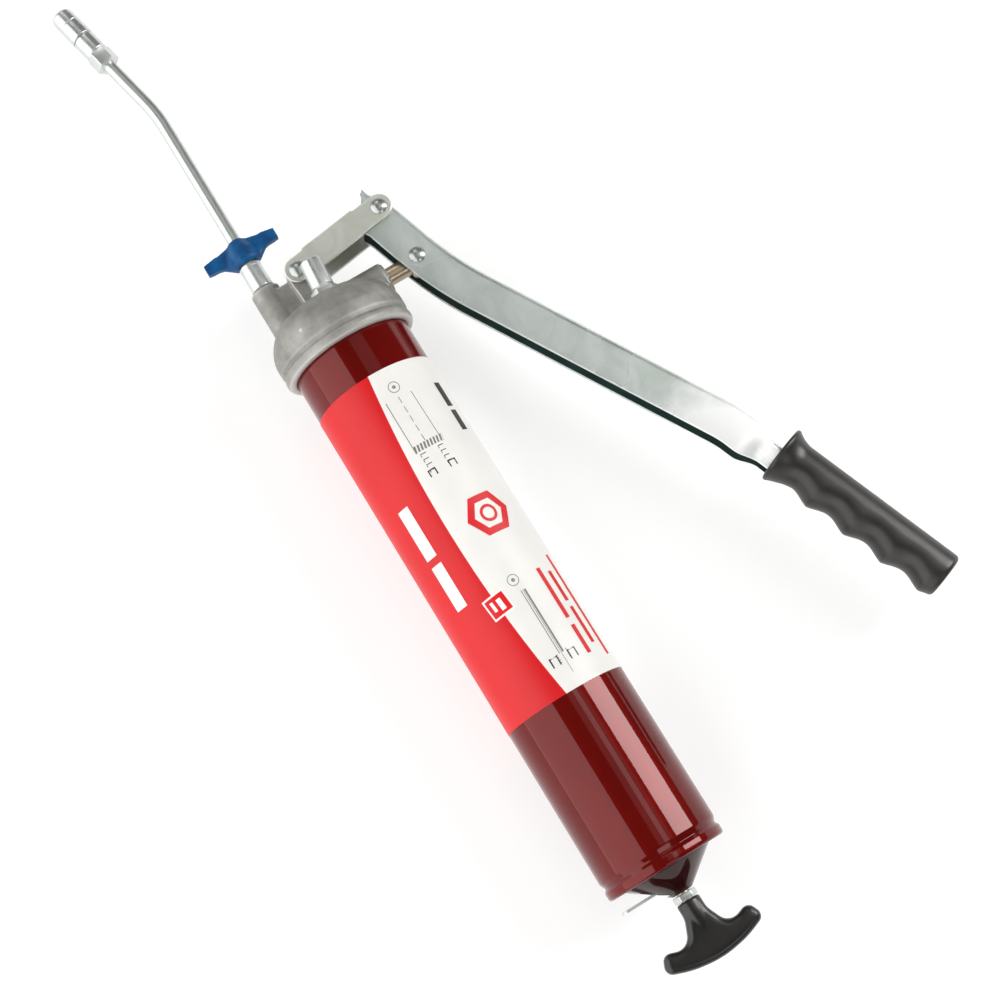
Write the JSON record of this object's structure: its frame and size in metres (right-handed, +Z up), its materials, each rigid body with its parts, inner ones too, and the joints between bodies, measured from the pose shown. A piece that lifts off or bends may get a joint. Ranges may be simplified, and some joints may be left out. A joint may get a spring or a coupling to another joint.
{
  "type": "lever grease gun",
  "caption": "Lever-action grease gun with a screw-in barrel, cast pump head, toggle link, bent spout with a grip coupler and a T-handle follower rod.",
  "frame": {"origin": "on the surface the gun lies on, below the middle of its overall box", "axes": "+X along the barrel towards the head and spout, +Z up with the lever plane horizontal, lever on the -Y side"},
  "size_m": [0.5272, 0.219, 0.065],
  "materials": {
    "barrel_enamel": "gloss maroon enamel on steel tube",
    "cap_enamel": "dark maroon enamel on pressed steel",
    "label_film": "printed film in red and off-white with plain line diagrams",
    "cast_head": "as-cast matte aluminium",
    "zinc_plate": "bright zinc plate on pressed steel",
    "zinc_link": "duller zinc plate on pressed steel",
    "zinc_bright": "bright turned and plated steel",
    "spring_steel": "drawn spring wire",
    "hard_steel": "ground hardened steel",
    "brass_bush": "turned brass",
    "black_grip": "satin black moulded vinyl",
    "black_plastic": "gloss black moulded plastic",
    "blue_nut": "semi-gloss blue coating on die-cast nut",
    "nitrile": "moulded nitrile rubber"
  },
  "bodies": {
    "head": {"head_casting": "cast_head", "head_gasket": "nitrile", "plunger_seal": "nitrile", "outlet_fitting": "zinc_bright", "outlet_spring": "spring_steel", "filler_nipple": "zinc_bright", "filler_spring": "spring_steel"},
    "barrel": {"barrel_tube": "barrel_enamel", "barrel_label": "label_film", "rear_cap": "cap_enamel", "latch_seat_washer": "zinc_bright", "latch_spring": "spring_steel", "follower_spring": "spring_steel"},
    "rod": {"follower_rod": "hard_steel"},
    "handle": {"tee_handle": "black_plastic", "rod_jam_nut": "zinc_bright"},
    "follower": {"follower_cup": "nitrile", "follower_bush": "brass_bush", "follower_front_plate": "zinc_plate", "follower_rear_plate": "zinc_plate"},
    "latch": {"rod_latch": "zinc_plate"},
    "link": {"toggle_link": "zinc_link", "pivot_rivet": "zinc_bright", "knee_rivet": "zinc_bright"},
    "lever": {"lever": "zinc_plate", "crosshead_pin": "zinc_bright", "grip": "black_grip"},
    "plunger": {"plunger": "hard_steel"},
    "outlet_valve": {"outlet_ball": "hard_steel"},
    "filler_valve": {"filler_ball": "hard_steel"},
    "coupler_valve": {"coupler_ball": "hard_steel"},
    "wing": {"wing_nut": "blue_nut"},
    "spout": {"spout_tube": "zinc_bright", "spout_ferrule": "brass_bush", "coupler_body": "zinc_bright", "coupler_spring": "spring_steel", "coupler_seal": "nitrile", "coupler_sleeve": "zinc_bright", "coupler_jaws": "hard_steel"}
  },
  "joints": [
    {"name": "link_swing", "type": "hinge", "parent": "head", "child": "link", "pos_m": [0.09064, 0.07249, 0.0325], "axis": [0, 0, 1], "range_deg": [-2.7, 1.8]},
    {"name": "lever_swing", "type": "hinge", "parent": "link", "child": "lever", "pos_m": [0.09764, 0.02599, 0.0325], "axis": [0, 0, 1], "range_deg": [-17, 26]},
    {"name": "plunger_slide", "type": "slide", "parent": "head", "child": "plunger", "axis": [0, 1, 0], "range_m": [-0.0118, 0.0078]},
    {"name": "barrel_draw", "type": "slide", "parent": "head", "child": "barrel", "axis": [1, 0, 0], "range_m": [-0.04, 0]},
    {"name": "rod_slide", "type": "slide", "parent": "barrel", "child": "rod", "axis": [1, 0, 0], "range_m": [-0.215, 0]},
    {"name": "handle_turn", "type": "hinge", "parent": "rod", "child": "handle", "pos_m": [-0.23556, 0.07099, 0.0325], "axis": [1, 0, 0], "continuous": true},
    {"name": "follower_slide", "type": "slide", "parent": "barrel", "child": "follower", "axis": [1, 0, 0], "range_m": [-0.125, 0.098], "deforming": ["follower_spring"]},
    {"name": "latch_tilt", "type": "hinge", "parent": "barrel", "child": "latch", "pos_m": [-0.22686, 0.06499, 0.0325], "axis": [0, 0, 1], "range_deg": [-4.5, 0], "stiffness_Nm_per_rad": 0.05, "springref_deg": 5.73, "deforming": ["latch_spring"]},
    {"name": "wing_nut_turn", "type": "hinge", "parent": "head", "child": "wing", "pos_m": [0.10744, 0.08979, 0.0325], "axis": [1, 0, 0], "continuous": true},
    {"name": "spout_swivel", "type": "hinge", "parent": "head", "child": "spout", "pos_m": [0.11344, 0.08979, 0.0325], "axis": [1, 0, 0], "continuous": true},
    {"name": "outlet_ball_lift", "type": "slide", "parent": "head", "child": "outlet_valve", "axis": [1, 0, 0], "range_m": [0, 0.0015], "stiffness_N_per_m": 50, "springref_m": -0.002, "deforming": ["outlet_spring"]},
    {"name": "filler_ball_lift", "type": "slide", "parent": "head", "child": "filler_valve", "axis": [-0.9957, 0.0924, 0], "range_m": [0, 0.0015], "stiffness_N_per_m": 50, "springref_m": -0.002, "deforming": ["filler_spring"]},
    {"name": "coupler_ball_lift", "type": "slide", "parent": "spout", "child": "coupler_valve", "axis": [0.9774, 0.2113, 0], "range_m": [0, 0.0015], "stiffness_N_per_m": 50, "springref_m": -0.002, "deforming": ["coupler_spring"]}
  ],
  "couplings": [
    {"joint": "link_swing", "follows": "lever_swing", "ratio": -0.1},
    {"joint": "plunger_slide", "follows": "lever_swing", "m_per_rad": -0.02555}
  ]
}
